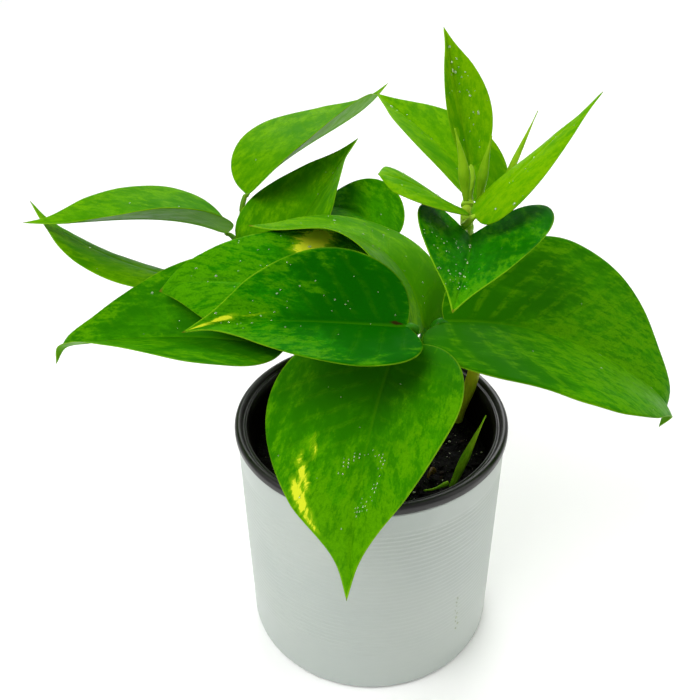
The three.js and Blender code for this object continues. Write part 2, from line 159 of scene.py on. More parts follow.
def cad_blade(node):
    """A leaf solid's middle surface as rows of points from its right margin to its left one, with
    the base and the tip, and each row's top-minus-bottom direction."""
    start, rings, end = cad_rings(node)
    if np.linalg.norm(rings[0] - start, axis=1).min() > np.linalg.norm(rings[-1] - end, axis=1).min():
        start, rings, end = end, rings[::-1], start
    half = rings.shape[1] // 2
    spread = [np.linalg.norm(rings[:, k] - rings[:, k + half], axis=1).sum() for k in range(half)]
    rings = np.roll(rings, -int(np.argmax(spread)), axis=1)
    upper = rings[:, : half + 1]
    lower = np.concatenate([rings[:, :1], rings[:, : half - 1 : -1]], axis=1)
    if (upper - lower)[..., 2].sum() < 0:
        upper, lower = lower, upper
    rows = (upper + lower) / 2
    rise = (upper - lower)[:, half // 2]
    along = np.gradient(rows[:, half // 2], axis=0)
    across = rows[:, -1] - rows[:, 0]
    if np.sum(np.cross(along, across) * rise) < 0:
        rows = rows[:, ::-1]
    return start, rows, end


# ---- materials ----


class Nodes:
    """A short way to write a material's nodes."""

    def __init__(self, name):
        self.material = bpy.data.materials.new(name)
        self.material.use_nodes = True
        self.tree = self.material.node_tree
        self.tree.nodes.clear()
        self.shader = self.tree.nodes.new("ShaderNodeBsdfPrincipled")
        output = self.tree.nodes.new("ShaderNodeOutputMaterial")
        self.link(self.shader.outputs[0], output.inputs[0])

    def link(self, out, socket):
        self.tree.links.new(out, socket)

    def put(self, socket, value):
        if isinstance(value, bpy.types.NodeSocket):
            self.link(value, socket)
        elif isinstance(value, tuple) and len(value) == 3 and socket.type == "RGBA":
            socket.default_value = (*value, 1)
        else:
            socket.default_value = value

    def node(self, kind, inputs=(), **settings):
        """A new node, with its settings made before its inputs."""
        node = self.tree.nodes.new("ShaderNode" + kind)
        for key, value in settings.items():
            setattr(node, key, value)
        for key, value in dict(inputs).items():
            self.put(node.inputs[key], value)
        return node

    def math(self, operation, *values):
        return self.node("Math", enumerate(values), operation=operation).outputs[0]

    def add(self, first, *others):
        for other in others:
            first = self.math("ADD", first, other)
        return first

    def times(self, first, *others):
        for other in others:
            first = self.math("MULTIPLY", first, other)
        return first

    def ramp(self, value, low, high, start=0.0, end=1.0):
        inputs = enumerate((value, low, high, start, end))
        return self.node("MapRange", inputs, interpolation_type="SMOOTHSTEP").outputs[0]

    def mix(self, share, a, b):
        return self.node("Mix", {0: share, 6: a, 7: b}, data_type="RGBA").outputs[2]

    def noise(self, vector, scale, detail=3.0, roughness=0.55, distortion=0.0):
        inputs = {"Vector": vector, "Scale": scale, "Detail": detail, "Roughness": roughness,
                  "Distortion": distortion}
        return self.node("TexNoise", inputs).outputs[0]

    def cells(self, vector, scale):
        return self.node("TexVoronoi", {"Vector": vector, "Scale": scale}).outputs[0]

    def attribute(self, name):
        return self.node("Attribute", attribute_name=name).outputs["Vector"]

    def parts(self, vector):
        return tuple(self.node("SeparateXYZ", {0: vector}).outputs)

    def vector(self, x, y, z):
        return self.node("CombineXYZ", enumerate((x, y, z))).outputs[0]

    def place(self):
        return self.node("TexCoord").outputs["Object"]

    def bump(self, height, distance, strength=1.0):
        node = self.node("Bump", {"Strength": strength, "Distance": distance, "Height": height})
        self.link(node.outputs[0], self.shader.inputs["Normal"])

    def finish(self, **sockets):
        names = {"base": "Base Color", "roughness": "Roughness", "ior": "IOR", "coat": "Coat Weight",
                 "coat_roughness": "Coat Roughness", "transmission": "Transmission Weight",
                 "specular": "Specular IOR Level"}
        for key, value in sockets.items():
            self.put(self.shader.inputs[names[key]], value)
        return self.material


def srgb(red, green, blue):
    """A colour of 0 to 255 as the linear one that the shader reads."""
    def linear(c):
        c = c / 255
        return c / 12.92 if c <= 0.04045 else ((c + 0.055) / 1.055) ** 2.4
    return (linear(red), linear(green), linear(blue))


# ---- leaves ----

LEAF_ROWS = 84  # rows from base to tip
LEAF_COLUMNS = 20  # columns from midrib to margin, each side
BLADE_THICKNESS = 0.62 * MM
MARGIN_THICKNESS = 0.30 * MM
MIDRIB_GROOVE = 0.45 * MM  # depth of the channel over the midrib
MIDRIB_KEEL = 0.55 * MM  # how far the midrib stands out below
MIDRIB_WIDTH = 1.1 * MM
VEIN_SPACING = 9.0 * MM
VEIN_SLANT = 0.75  # how fast a side vein runs forward as it goes out
VEIN_RELIEF = 0.07 * MM
RAISED = 4.0 * MM  # height of a raised place at full strength
HOLD_TIP = 0.93  # share of the length past which the blade stays smooth
TIP_START, TIP_END = 0.74, 0.95  # shares of the length between which the drip tip narrows
TIP_NARROWING = 0.62  # how much narrower it gets at a look's tip of 1
FAINT_VEINS = 0.12  # how plain the side veins are where a look does not say
BROWN_TIPS = {"arched": 0.03, "middle": 0.02, "under": 0.03, "heart": 0.03, "left_low": 0.015}
BROWN_TIP = 0.012  # share of the length that is brown on the other leaves
WELD = 0.004 * MM

# Colours of the upper face: deep along the midrib and in the older part, fresh elsewhere.
DEEP = srgb(0, 88, 0)
OLD_GREEN = srgb(12, 124, 0)
FRESH = srgb(76, 146, 0)
LIME = srgb(118, 170, 2)
YELLOW = srgb(204, 214, 40)
YELLOW_FRINGE = srgb(132, 178, 10)
# painted highlight along the leaf margins
PAINTED_MARGIN_HIGHLIGHT = srgb(132, 178, 24)
DEAD_PATCH = srgb(50, 38, 10)
DEAD_TIP = srgb(104, 80, 24)


# For each leaf: shade from 0 for the oldest to 1 for the youngest, how wavy its margin is in mm, the
# number of drops on it, how strongly the tip narrows, how plain its side veins are, and patches as
# (share along, place across, length, width, strength): yellow, brown, painted shade (darker
# patches near the base, where other leaves shade it), lighter and raised ones.
def look(shade, wave, drops, tip, veins=FAINT_VEINS, **marks):
    return {"shade": shade, "wave": wave, "drops": drops, "tip": tip, "veins": veins, **marks}


LEAF_LOOKS = {
    "top_upright": look(0.80, 0.3, 30, 0.3),
    "top_back": look(0.66, 0.5, 8, 0.2),
    "top_right": look(0.95, 0.4, 16, 0.35, lighter=[(0.5, 0.3, 0.3, 0.5, 0.7)]),
    "top_left": look(0.74, 0.3, 8, 0.0, brown=[(0.6, -0.9, 0.04, 0.12, 1.0)]),
    "heart": look(0.06, 0.9, 60, 0.35, lighter=[(0.9, 0.0, 0.12, 0.8, 0.9), (0.3, -0.7, 0.2, 0.2, 0.4)]),
    "right": look(0.24, 1.4, 7, 0.3, veins=0.5,
        darker=[(0.0, 0.2, 0.30, 0.9, 1.0), (0.2, -0.8, 0.3, 0.3, 0.5)],
        lighter=[(0.60, -0.25, 0.28, 0.6, 1.2)]),
    "front": look(0.24, 1.0, 12, 0.75, veins=0.2,
        yellow=[(0.60, -0.66, 0.08, 0.08, 0.85), (0.70, -0.80, 0.08, 0.12, 1.0),
                (0.52, -0.52, 0.07, 0.04, 0.7), (0.76, -0.86, 0.06, 0.12, 0.8)],
        darker=[(0.05, 0.0, 0.30, 1.0, 1.0), (0.35, -0.2, 0.2, 0.3, 0.5)],
        lighter=[(0.86, 0.0, 0.2, 0.9, 1.4), (0.45, 0.6, 0.2, 0.3, 0.6),
                 (0.7, -0.5, 0.15, 0.4, 0.6)]),
    "middle": look(0.05, 0.8, 34, 0.55,
        yellow=[(0.84, -0.24, 0.07, 0.16, 1.0), (0.93, -0.1, 0.07, 0.35, 0.9),
                (0.74, -0.14, 0.09, 0.05, 0.7)],
        brown=[(0.06, -0.10, 0.035, 0.07, 1.0)],
        darker=[(0.2, 0.0, 0.4, 1.0, 0.8)],
        lighter=[(0.85, 0.0, 0.2, 0.9, 1.2), (0.6, 0.6, 0.2, 0.4, 0.6),
                 (0.62, -0.5, 0.2, 0.4, 0.6)]),
    "under": look(0.10, 0.8, 34, 0.2,
        yellow=[(0.40, -0.74, 0.08, 0.34, 1.0)],
        lighter=[(0.85, 0.1, 0.3, 0.9, 1.1), (0.5, 0.2, 0.2, 0.5, 0.4)],
        raised=[(0.28, -1.1, 0.26, 0.7, 1.3)]),
    "arched": look(0.56, 0.7, 26, 0.4, darker=[(0.15, -0.5, 0.25, 0.6, 0.8)]),
    "left_low": look(0.22, 0.9, 6, 0.35,
        darker=[(0.1, -0.3, 0.35, 0.7, 0.9)],
        lighter=[(0.7, 0.5, 0.3, 0.4, 0.4)]),
    "left_narrow": look(0.6, 0.6, 4, 0.5),
    "left_high": look(0.48, 0.8, 6, 0.6),
    "back_tall": look(0.6, 0.8, 6, 0.75),
    "back_middle": look(0.45, 0.7, 6, 0.3),
    "back_round": look(0.20, 0.5, 4, 0.0),
}


def patches(spots, share, place):
    """How strongly a list of patches marks each point, 0 to 1."""
    mark = np.zeros(share.shape)
    for centre, across_at, long, wide, strength in spots:
        far = ((share - centre) / long) ** 2 + ((place - across_at) / wide) ** 2
        mark = np.maximum(mark, strength * np.exp(-far))
    return mark


def leaf_surface(node, tip):
    """The blade's fine middle surface as a grid of points, and its lengths along and across. The
    last part narrows to a drip tip."""
    start, rows, end = cad_blade(node)
    half = rows.shape[1] // 2
    first, last = (np.repeat(pole[None, None], rows.shape[1], axis=1) for pole in (start, end))
    rows = np.concatenate([first, rows, last], axis=0)
    out = np.linspace(0, half, LEAF_COLUMNS + 1)
    right = spline(rows[:, half::-1].transpose(1, 0, 2), out)
    left = spline(rows[:, half:].transpose(1, 0, 2), out)
    columns = np.concatenate([right[:0:-1], left], axis=0)
    down = np.linspace(0, 1, LEAF_ROWS + 1) * (len(rows) - 1)
    grid = spline(columns.transpose(1, 0, 2), down)
    middle = grid[:, LEAF_COLUMNS].copy()
    so_far = np.linspace(0, 1, LEAF_ROWS + 1) ** 1.2
    narrowing = 1 - tip * TIP_NARROWING * smoothstep(TIP_START, TIP_END, so_far)
    grid = middle[:, None] + (grid - middle[:, None]) * narrowing[:, None, None]
    steps = np.linalg.norm(np.diff(middle, axis=0), axis=1)
    along = np.concatenate([[0], np.cumsum(steps)])
    sides = np.linalg.norm(np.diff(grid, axis=1), axis=2)
    across = np.zeros(grid.shape[:2])
    across[:, LEAF_COLUMNS + 1:] = np.cumsum(sides[:, LEAF_COLUMNS:], axis=1)
    across[:, :LEAF_COLUMNS] = -np.cumsum(sides[:, LEAF_COLUMNS - 1::-1], axis=1)[:, ::-1]
    return grid, along, across


def grid_normals(grid):
    normal = np.cross(np.gradient(grid, axis=0), np.gradient(grid, axis=1))
    normal[0] = normal[1]
    normal[-1] = normal[-2]
    return unit(normal)


def build_leaf(name, looks, material, seed):
    """A blade; gives back its middle surface and that surface's normals."""
    node = "leaf_" + name
    grid, along, across = leaf_surface(node, looks["tip"])
    length = along[-1]
    rows, columns = grid.shape[:2]
    share = np.repeat((along / length)[:, None], columns, axis=1)
    place = np.repeat(np.linspace(-1, 1, columns)[None], rows, axis=0)
    out = np.abs(place)
    reach = np.abs(across)
    normal = grid_normals(grid)

    # soft waves of the margin, and the puckering between the side veins
    def rough(scale, shift):
        return fractal(grid.reshape(-1, 3), scale, 2, seed + shift).reshape(rows, columns)

    wave = rough(30, 0)
    quiet = smoothstep(0, 0.16, share) * (1 - smoothstep(HOLD_TIP - 0.15, HOLD_TIP, share))
    lift = looks["wave"] * MM * 0.9 * wave * out**2 * quiet
    lift += RAISED * patches(looks.get("raised", []), share, place)
    slant = share * length - VEIN_SLANT * reach - 4.0 * reach**2 / length
    phase = slant / VEIN_SPACING + 0.12 * rough(45, 9)
    vein = np.exp(-(np.abs(phase % 1 - 0.5) / 0.16) ** 2)
    fade = smoothstep(0.04, 0.2, out) * (1 - smoothstep(0.8, 0.98, out)) * quiet
    lift -= VEIN_RELIEF * vein * fade
    lift += 0.22 * MM * rough(85, 3) * fade
    surface = grid + normal * lift[..., None]
    normal = grid_normals(surface)

    near_rib = np.exp(-((reach / (MIDRIB_WIDTH * (1.25 - share))) ** 2))
    thick = MARGIN_THICKNESS + (BLADE_THICKNESS - MARGIN_THICKNESS) * (1 - out**6)
    thick = thick * smoothstep(-0.02, 0.02, share) * (1 - 0.5 * smoothstep(0.97, 1, share))
    rib = near_rib * (1 - smoothstep(0.75, 0.97, share)) * smoothstep(0.0, 0.05, share)
    top = surface + normal * (thick / 2 - MIDRIB_GROOVE * rib)[..., None]
    bottom = surface - normal * (thick / 2 + MIDRIB_KEEL * rib)[..., None]

    marked = {kind: patches(looks.get(kind, []), share, place)
              for kind in ("yellow", "brown", "lighter", "darker")}
    yellow = marked["yellow"] - marked["brown"]
    # tone: the lighter patches, less the painted shade patches near the base
    tone = marked["lighter"] - marked["darker"]

    to_right = np.abs(reach - reach[:, :1]) + (place > 0)
    to_left = np.abs(reach - reach[:, -1:]) + (place < 0)
    margin = np.minimum(np.minimum(to_left, to_right), (length - along)[:, None] * 0.8)
    points = np.concatenate([top.reshape(-1, 3), bottom.reshape(-1, 3)])
    count = rows * columns
    where = np.stack([share, place, np.ones_like(share)], axis=-1).reshape(-1, 3)
    where = np.concatenate([where, where * [1, 1, 0]])
    measure = np.stack([np.repeat(along[:, None], columns, axis=1), across, margin], axis=-1).reshape(-1, 3)
    marks = np.stack([yellow, near_rib * (1 - 0.4 * share), tone], axis=-1).reshape(-1, 3)
    faces = []
    for r in range(rows - 1):
        for c in range(columns - 1):
            a = r * columns + c
            faces.append((a, a + columns, a + columns + 1, a + 1)[::-1])
            faces.append((count + a, count + a + columns, count + a + columns + 1, count + a + 1))
        for c, turn in ((0, 1), (columns - 1, -1)):
            a = r * columns + c
            faces.append((a, a + columns, count + a + columns, count + a)[::turn])
    for r, turn in ((0, -1), (rows - 1, 1)):
        for c in range(columns - 1):
            a = r * columns + c
            faces.append((a, a + 1, count + a + 1, count + a)[::turn])
    piece = add_mesh("blade_" + name, points, faces, material, [node], attributes={
        "leaf_where": where, "leaf_measure": np.concatenate([measure, measure]),
        "leaf_marks": np.concatenate([marks, marks])})
    weld_close(piece)
    return surface, normal


def weld_close(piece):
    """Joins the points that a pole row repeats."""
    work = bmesh.new()
    work.from_mesh(piece.data)
    bmesh.ops.remove_doubles(work, verts=work.verts, dist=WELD)
    bmesh.ops.recalc_face_normals(work, faces=work.faces)
    work.to_mesh(piece.data)
    work.free()


def blend_of(a, b, share):
    return tuple(x + (y - x) * share for x, y in zip(a, b))


def leaf_material(name, shade, veins, seed, tip_brown):
    """A pothos leaf: blotched greens with painted shade near the base, side veins, a painted highlight
    along the margin, speckle, yellow patches, a brown point, and a lighter yellow-green underside."""
    n = Nodes("leaf_" + name)
    share, place, upper = n.parts(n.attribute("leaf_where"))
    along, across, margin = n.parts(n.attribute("leaf_measure"))
    # tone holds the lighter patches and, below zero, the painted shade near the base
    yellow, rib, tone = n.parts(n.attribute("leaf_marks"))
    out = n.math("ABSOLUTE", across)
    spot = n.vector(along, across, seed * 0.01)

    # side veins run out and forward from the midrib
    bend = n.noise(spot, 60, 2)
    slant = n.math("SUBTRACT", along, n.times(out, VEIN_SLANT))
    phase = n.add(n.math("DIVIDE", slant, VEIN_SPACING), n.times(bend, 0.7))
    saw = n.math("ABSOLUTE", n.math("SUBTRACT", n.math("FRACT", phase), 0.5))
    vein_fade = n.times(n.ramp(out, 0.5 * MM, 5 * MM), n.ramp(margin, 0.0, 6 * MM))
    vein = n.times(n.ramp(saw, 0.0, 0.06, 1.0, 0.0), vein_fade)
    beside = n.times(n.ramp(saw, 0.05, 0.22, 1.0, 0.0), vein_fade)
    stretched = n.vector(n.times(slant, 0.5), across, seed * 0.01)

    # blotches of deep and fresh green, in three sizes
    cloud = n.noise(spot, 34, 4, 0.62, 0.4)
    blotch = n.noise(stretched, 130, 4, 0.65, 0.3)
    mottle = n.noise(stretched, 420, 4, 0.7)
    speck = n.noise(spot, 1100, 2, 0.6)
    deep = blend_of(DEEP, FRESH, shade)
    fresh = blend_of(OLD_GREEN, LIME, shade)
    bright = blend_of(OLD_GREEN, LIME, 0.3 + 0.7 * shade)
    # tone moves the greens: towards fresh where patches are lighter, towards deep as painted shade near the
    # base
    level = n.add(n.times(cloud, 0.9), n.times(blotch, 0.7), n.times(tone, 0.42))
    green = n.mix(n.ramp(level, 0.58, 0.96), deep, fresh)
    patchy = n.add(n.times(blotch, 0.6), n.times(mottle, 0.5), n.times(tone, 0.16),
                   n.ramp(margin, 0.0, 14 * MM, 0.05, 0.0), n.ramp(share, 0.55, 1.0, 0.0, 0.06))
    green = n.mix(n.ramp(patchy, 0.55, 0.70, 0.0, 0.8), green, bright)
    green = n.mix(n.ramp(mottle, 0.38, 0.54, 0.55, 0.0), green, deep)
    green = n.mix(n.ramp(speck, 0.35, 0.7, 0.0, 0.32), green, deep)
    green = n.mix(n.times(beside, veins, n.ramp(mottle, 0.35, 0.6)), green, bright)
    green = n.mix(n.times(vein, veins * 0.3), green, DEEP)

    # ragged yellow patches, with a paler fringe
    torn = n.times(n.math("SUBTRACT", n.noise(stretched, 300, 5, 0.7, 0.6), 0.5), 1.7)
    ragged = n.add(yellow, torn)
    fringe = n.times(n.ramp(ragged, 0.25, 0.6), n.ramp(yellow, 0.08, 0.4, 0.0, 0.6))
    green = n.mix(fringe, green, YELLOW_FRINGE)
    green = n.mix(n.times(n.ramp(ragged, 0.55, 0.75), n.ramp(yellow, 0.08, 0.2)), green, YELLOW)
    green = n.mix(n.times(n.ramp(rib, 0.35, 0.95), 0.3), green, bright)
    # painted highlight: a pale line along the margin, stronger where the cloud noise is high
    edge = n.ramp(margin, 0.15 * MM, 0.7 * MM, 1.0, 0.0)
    margin_highlight = n.times(edge, n.ramp(cloud, 0.35, 0.65, 0.1, 0.6))
    green = n.mix(margin_highlight, green, PAINTED_MARGIN_HIGHLIGHT)
    green = n.mix(n.ramp(ragged, -0.7, -0.4, 0.95, 0.0), green, DEAD_PATCH)
    green = n.mix(n.ramp(share, 1 - tip_brown, 1.0, 0.0, 0.9), green, DEAD_TIP)

    # the underside
    under = n.mix(n.ramp(cloud, 0.3, 0.7), srgb(82, 146, 8), srgb(102, 158, 12))
    ribs = n.times(n.math("MAXIMUM", vein, n.ramp(rib, 0.3, 0.9)), 0.45)
    under = n.mix(ribs, under, srgb(118, 168, 26))
    # painted highlight along the underside's margin as well
    under = n.mix(n.times(edge, 0.5), under, srgb(132, 178, 30))
    colour = n.mix(n.ramp(upper, 0.35, 0.65), under, green)

    height = n.math("SUBTRACT", n.times(speck, 0.35), n.times(vein, 0.6))
    height = n.add(height, n.times(n.noise(spot, 330, 2, 0.5), 0.6))
    n.bump(height, 0.10 * MM, 0.6)
    rough = n.ramp(n.noise(spot, 200, 3), 0.3, 0.75, 0.30, 0.46)
    return n.finish(base=colour, roughness=rough, specular=0.006)


# ---- stems ----

STEM_SIDES = 20
VINE_SIDES = 24
JOINT_SWELL = 0.16  # extra radius of a vine where a petiole leaves it
JOINT_LENGTH = 2.4 * MM
JOINT_GROOVE = 0.05  # how much narrower the vine is in a thin ring beside the swelling
JOINT_GROOVE_AT = 3.4 * MM
KNEE_SWELL = 0.30  # extra radius where a petiole turns into its blade
KNEE_AT = 5.5 * MM  # how far before the blade that swelling is
OLD_STALKS = ("right", "front", "middle", "under", "arched", "heart")
KNEE_SWELLS = {"arched": 1.3, "middle": 0.9, "right": 0.8}
YOUNG_STEM_FROM = 180 * MM  # height where the stems start to be fresh green
BASE_FLARE = 0.75  # extra radius where a petiole clasps its vine


def stem_material(name, colour, other, blush):
    n = Nodes(name)
    place = n.place()
    fibres = n.vector(*[n.times(c, k) for c, k in zip(n.parts(place), (1.0, 1.0, 0.18))])
    grain = n.noise(fibres, 900, 3)
    cloud = n.noise(place, 120, 3)
    base = n.mix(n.ramp(cloud, 0.35, 0.7), colour, other)
    base = n.mix(n.ramp(grain, 0.35, 0.8, 0.0, 0.3), base, blush)
    high = n.ramp(n.parts(place)[2], YOUNG_STEM_FROM, YOUNG_STEM_FROM + 40 * MM)
    base = n.mix(high, base, srgb(152, 196, 40))
    scar = n.ramp(n.noise(place, 420, 4, 0.7), 0.66, 0.74, 0.0, 0.5)
    base = n.mix(scar, base, srgb(112, 96, 30))
    n.bump(n.add(grain, n.times(cloud, 0.6)), 0.12 * MM, 0.6)
    return n.finish(base=base, roughness=n.ramp(cloud, 0.3, 0.7, 0.34, 0.5), specular=0.1)


def ring(centre, side, up, radius, turn):
    return centre + np.outer(radius * np.cos(turn), side) + np.outer(radius * np.sin(turn), up)


def tube(centres, radii, sides=STEM_SIDES, channel=0.0, ups=None, seed=0.0):
    """Rings round a path, with a channel pressed into the side that ups gives."""
    tangents = unit(np.gradient(centres, axis=0))
    up = unit(ups if ups is not None else np.cross(tangents, [0.3, 1.0, 0.2]))
    up = unit(up - tangents * np.sum(up * tangents, axis=1, keepdims=True))
    side = np.cross(tangents, up)
    turn = np.linspace(0, 2 * math.pi, sides, endpoint=False)
    rings = []
    for k in range(len(centres)):
        from_top = np.angle(np.exp(1j * (turn - math.pi / 2)))
        press = 1 - channel * np.exp(-(from_top / 0.55) ** 2)
        wobble = 1 + 0.03 * np.sin(3 * turn + seed + k * 0.31)
        r = radii[k] * press * wobble
        rings.append(ring(centres[k], side[k], up[k], r, turn))
    return np.concatenate(rings)


def capped(rings, sides):
    faces = ring_faces(rings, sides)
    faces.append(tuple(range(sides))[::-1])
    faces.append(tuple((rings - 1) * sides + i for i in range(sides)))
    return faces


def cad_path(node, upward=False):
    """The centres and radii of a CAD rod's rings, in the frame's order or from the low end up."""
    rings = cad_rings(node)[1]
    centres = rings.mean(axis=1)
    radii = np.linalg.norm(rings - centres[:, None], axis=2).mean(axis=1)
    if upward and centres[0, 2] > centres[-1, 2]:
        return centres[::-1], radii[::-1]
    return centres, radii


def finer(centres, radii, count):
    steps = np.linspace(0, len(centres) - 1, count)
    return spline(centres, steps), spline(radii[:, None], steps)[:, 0]


def build_vine(name, material, joints):
    """A vine with a swollen joint wherever a petiole leaves it."""
    path, radius = finer(*cad_path("vine_" + name, upward=True), 120)
    swell = np.zeros(len(path))
    for joint in joints:
        nearest = path[int(np.argmin(np.linalg.norm(path - joint, axis=1)))]
        away = np.linalg.norm(path - nearest, axis=1)
        swell += JOINT_SWELL * np.exp(-((away / JOINT_LENGTH) ** 2))
        swell -= JOINT_GROOVE * np.exp(-(((away - JOINT_GROOVE_AT) / (0.7 * MM)) ** 2))
    radius = radius * (0.97 + np.minimum(swell, 0.22))
    radius[-3:] *= (0.92, 0.75, 0.4)
    points = tube(path, radius, VINE_SIDES, seed=len(name))
    return add_mesh("stem_" + name, points, capped(len(path), VINE_SIDES), material,
                    ["vine_" + name])


def build_petiole(name, material, blade, vine_points):
    """A petiole with a channel on its upper side, a swollen knee, and a base that clasps the vine."""
    node = "petiole_" + name
    centres, radii = cad_path(node)
    base = blade[0, LEAF_COLUMNS]
    if np.linalg.norm(centres[0] - base) < np.linalg.norm(centres[-1] - base):
        centres, radii = centres[::-1], radii[::-1]
    inward = vine_points[int(np.argmin(np.linalg.norm(vine_points - centres[0], axis=1)))]
    first = centres[0] + (inward - centres[0]) * 0.7
    rise = grid_normals(blade)
    under = base - rise[2, LEAF_COLUMNS] * 0.2 * MM
    onward = blade[3, LEAF_COLUMNS] - rise[3, LEAF_COLUMNS] * 0.35 * MM
    path = np.concatenate([[first], centres, [under, onward]])
    radius = np.concatenate([[radii[0]], radii, [radii[-1] * 0.95, radii[-1] * 0.55]])
    line, width = finer(path, radius, 90)
    travelled = np.concatenate([[0], np.cumsum(np.linalg.norm(np.diff(line, axis=0), axis=1))])
    back = travelled[-1] - travelled
    width = width * (0.92 + BASE_FLARE * np.exp(-((travelled / (3.2 * MM)) ** 2)))
    swell = KNEE_SWELLS.get(name, KNEE_SWELL)
    width = width * (1 + swell * np.exp(-(((back - KNEE_AT) / (3.6 * MM)) ** 2)))
    ups = np.array([[0.0, 0.0, 1.0]]) + 0.4 * unit(line - vine_points.mean(axis=0))
    points = tube(line, width, STEM_SIDES, 0.22, ups, seed=len(name) * 0.7)
    return add_mesh("stalk_" + name, points, capped(len(line), STEM_SIDES), material, [node])


# ---- rolled young leaves ----

# each rolled leaf, with its turns about itself
ROLLED = {"sheath_top": 0.2, "new_leaf_top": 0.3, "new_leaf_right": 0.3, "shoot_in_pot": 0.25}
SPEAR_SIDES = 30
SPEAR_LAP = 0.30  # how far the free edge stands out at the base, as a share of the radius


def build_spear(node, material, turns):
    """A young leaf rolled about itself: a spiral section whose free edge winds up the outside."""
    line, radius = finer(*cad_path(node, upward=True), 80)
    tangents = unit(np.gradient(line, axis=0))
    up = unit(np.cross(tangents, [0.25, 1.0, 0.1]))
    side = np.cross(tangents, up)
    turn = np.linspace(0, 2 * math.pi, SPEAR_SIDES, endpoint=False)
    rings = []
    for k in range(len(line)):
        share = k / (len(line) - 1)
        lap = SPEAR_LAP * (1 - 0.6 * share)
        r = radius[k] * (1.03 - lap * turn / (2 * math.pi)) * (1 - 0.04 * np.cos(2 * turn))
        r[0] *= 0.98
        angle = turn + 2 * math.pi * turns * share + 0.6
        rings.append(ring(line[k], side[k], up[k], r, angle))
    faces = capped(len(line), SPEAR_SIDES)
    return add_mesh("rolled_" + node, np.concatenate(rings), faces, material, [node])


def build_scrap(name, path, radii, material):
    """A small piece of stalk or old sheath that lies on the soil."""
    line = spline(path, np.linspace(0, len(path) - 1, 40))
    width = np.linspace(*radii, 40) * (1 + 0.15 * np.sin(np.linspace(0, 9, 40)))
    points = tube(line, width, STEM_SIDES, 0.45)
    return add_mesh(name, points, capped(40, STEM_SIDES), material)


def shoot_material(name, colour, other):
    n = Nodes(name)
    place = n.place()
    x, y, z = n.parts(place)
    lines = n.noise(n.vector(x, y, n.times(z, 0.12)), 1500, 3)
    cloud = n.noise(place, 130, 3)
    base = n.mix(n.ramp(cloud, 0.3, 0.7), colour, other)
    base = n.mix(n.ramp(lines, 0.4, 0.8, 0.0, 0.35), base, srgb(158, 194, 50))
    n.bump(lines, 0.12 * MM, 0.7)
    return n.finish(base=base, roughness=n.ramp(cloud, 0.3, 0.7, 0.32, 0.5), specular=0.04)


# ---- pots ----

POT_SIDES = 192


def lathe(name, profile, material, slot, offset=None):
    """Turns a closed profile of (radius, height) pairs; offset(radius, height, angle) shifts radii."""
    turn = np.linspace(0, 2 * math.pi, POT_SIDES, endpoint=False)
    profile = np.array(profile)
    radius = np.repeat(profile[:, :1], POT_SIDES, axis=1)
    height = np.repeat(profile[:, 1:], POT_SIDES, axis=1)
    if offset is not None:
        radius = radius + offset(radius, height, turn[None])
    points = np.stack([radius * np.cos(turn), radius * np.sin(turn), height], axis=-1).reshape(-1, 3)
    faces = capped(len(profile), POT_SIDES)
    return add_mesh(name, points, [f[::-1] for f in faces], material, [slot])


def arc(centre, radius, start, end, steps):
    angles = np.radians(np.linspace(start, end, steps + 1))
    return [(centre[0] + radius * math.cos(a), centre[1] + radius * math.sin(a)) for a in angles]


def between(a, b, steps):
    """Points on the way from a to b, both ends left out."""
    return [(a[0] + (b[0] - a[0]) * k / steps, a[1] + (b[1] - a[1]) * k / steps) for k in range(1, steps)]


AXIS = 0.5 * MM  # radius at which a pot's outline closes in its middle
COVER_WALL = 3.2 * MM
COVER_FLOOR = 5 * MM
COVER_LIP = 1.2 * MM  # rounding of the rim
COVER_FOOT = 3 * MM  # rounding of the foot
POT_TAPER = 1.0 * MM  # how much narrower the cover pot is at its foot
RIB_PITCH = 2.4 * MM
RIB_DEPTH = 0.26 * MM
RIBS_FROM = 24 * MM
RIBS_BELOW_TOP = 10 * MM
NURSERY_BEAD = 3.4 * MM  # thickness of the rounded rim
NURSERY_WALL = 1.3 * MM
NURSERY_FLOOR = 1.8 * MM
NURSERY_BASE = 44 * MM  # radius of its foot
POT_PLAY = 0.9 * MM  # gap between the two pots
DRAIN_HOLES = 6
DRAIN_RADIUS = 5 * MM
DRAIN_RING = 30 * MM  # radius of the ring that the holes stand on


